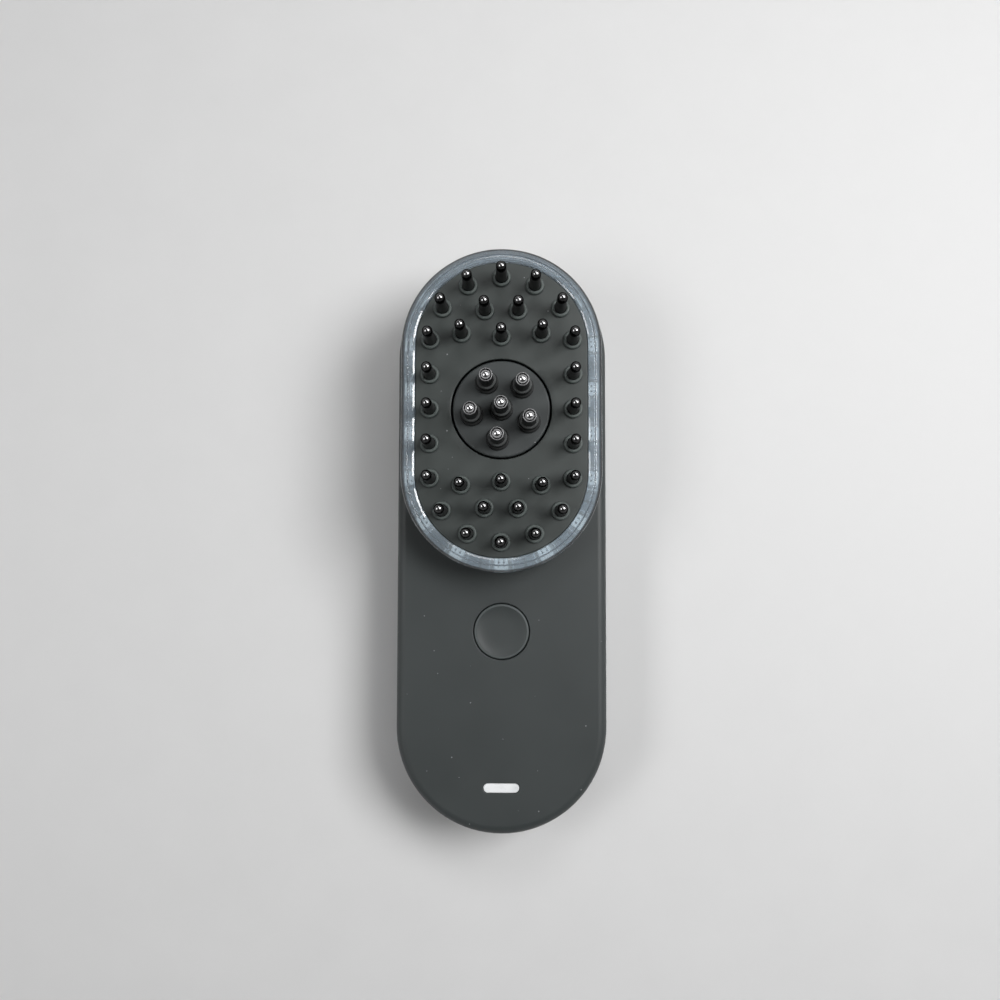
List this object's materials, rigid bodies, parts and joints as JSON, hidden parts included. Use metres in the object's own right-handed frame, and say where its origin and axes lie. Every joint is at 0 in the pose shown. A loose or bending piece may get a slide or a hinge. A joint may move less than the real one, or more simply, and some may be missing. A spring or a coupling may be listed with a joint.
{
  "type": "electric massage brush",
  "caption": "Handheld electric scalp massage brush: rounded bar handle, raised pin head with a clear light ring, lift-out roller-ball applicator, power button and status light.",
  "frame": {"origin": "middle of the flat back, on the surface it lies on", "axes": "+Z out of the massage face, +Y along the handle towards the head, +X across it"},
  "size_m": [0.052, 0.144, 0.0456],
  "materials": {
    "soft_touch_charcoal": "soft-touch moulded plastic",
    "panel_silicone": "dark grey moulded silicone",
    "seal_rubber": "black moulded rubber",
    "inner_plastic": "black moulded plastic",
    "clear_plastic": "clear polished acrylic",
    "white_lens": "milky light pipe",
    "pin_plastic": "black moulded plastic",
    "black_chrome": "dark polished plating",
    "polished_steel": "polished steel ball",
    "steel": "plain steel",
    "circuit_board": "solder-masked board",
    "white_board": "white solder mask",
    "chip_black": "moulded chip",
    "light_white": "small light under clear resin",
    "cell_wrap": "foil pouch",
    "foam": "adhesive foam",
    "wire_red": "insulated wire",
    "bottle_clear": "translucent moulded plastic"
  },
  "bodies": {
    "case": {"applicator_well": "inner_plastic", "battery_cell": "cell_wrap", "battery_leads": "wire_red", "battery_pad": "foam", "board_screws": "steel", "carrier_screws": "steel", "case_screws": "steel", "case_seal": "seal_rubber", "charger_chip": "chip_black", "charging_socket": "steel", "clamp_screws": "steel", "controller_chip": "chip_black", "front_cover": "soft_touch_charcoal", "head_housing": "soft_touch_charcoal", "head_screws": "steel", "light_board": "white_board", "light_leads": "wire_red", "light_ring": "clear_plastic", "main_board": "circuit_board", "motor_can": "steel", "motor_clamp": "inner_plastic", "motor_leads": "wire_red", "motor_sleeve": "seal_rubber", "pin_carrier": "inner_plastic", "pin_panel": "panel_silicone", "pin_stems": "pin_plastic", "pin_tips": "black_chrome", "rear_cover": "soft_touch_charcoal", "ring_lights": "light_white", "screw_plugs": "seal_rubber", "status_lens": "white_lens", "status_light": "light_white", "switch_body": "inner_plastic"},
    "button": {"power_button": "soft_touch_charcoal", "switch_plunger": "inner_plastic"},
    "motor_rotor": {"motor_shaft": "steel", "eccentric_weight": "steel"},
    "applicator": {"applicator_bottle": "bottle_clear", "applicator_cap": "soft_touch_charcoal", "cap_seal": "seal_rubber", "ring_seal": "seal_rubber", "ball_sockets": "inner_plastic"},
    "ball_1": {"roller_ball_1": "polished_steel"},
    "ball_2": {"roller_ball_2": "polished_steel"},
    "ball_3": {"roller_ball_3": "polished_steel"},
    "ball_4": {"roller_ball_4": "polished_steel"},
    "ball_5": {"roller_ball_5": "polished_steel"},
    "ball_6": {"roller_ball_6": "polished_steel"}
  },
  "joints": [
    {"name": "button_press", "type": "slide", "parent": "case", "child": "button", "axis": [0, 0, -1], "range_m": [0, 0.0004], "stiffness_N_per_m": 2000},
    {"name": "motor_spin", "type": "hinge", "parent": "case", "child": "motor_rotor", "pos_m": [0, 0.033, 0.0085], "axis": [0, 1, 0], "continuous": true},
    {"name": "applicator_lift", "type": "slide", "parent": "case", "child": "applicator", "axis": [0, 0, 1], "range_m": [0, 0.03]},
    {"name": "ball_roll_1", "type": "hinge", "parent": "applicator", "child": "ball_1", "pos_m": [0, 0.03115, 0.0443], "axis": [1, 0, 0], "continuous": true},
    {"name": "ball_roll_2", "type": "hinge", "parent": "applicator", "child": "ball_2", "pos_m": [0.00491, 0.03642, 0.0443], "axis": [1, 0, 0], "continuous": true},
    {"name": "ball_roll_3", "type": "hinge", "parent": "applicator", "child": "ball_3", "pos_m": [-0.00349, 0.03745, 0.0443], "axis": [1, 0, 0], "continuous": true},
    {"name": "ball_roll_4", "type": "hinge", "parent": "applicator", "child": "ball_4", "pos_m": [-0.00707, 0.02978, 0.0443], "axis": [1, 0, 0], "continuous": true},
    {"name": "ball_roll_5", "type": "hinge", "parent": "applicator", "child": "ball_5", "pos_m": [-0.00088, 0.024, 0.0443], "axis": [1, 0, 0], "continuous": true},
    {"name": "ball_roll_6", "type": "hinge", "parent": "applicator", "child": "ball_6", "pos_m": [0.00653, 0.02811, 0.0443], "axis": [1, 0, 0], "continuous": true}
  ]
}
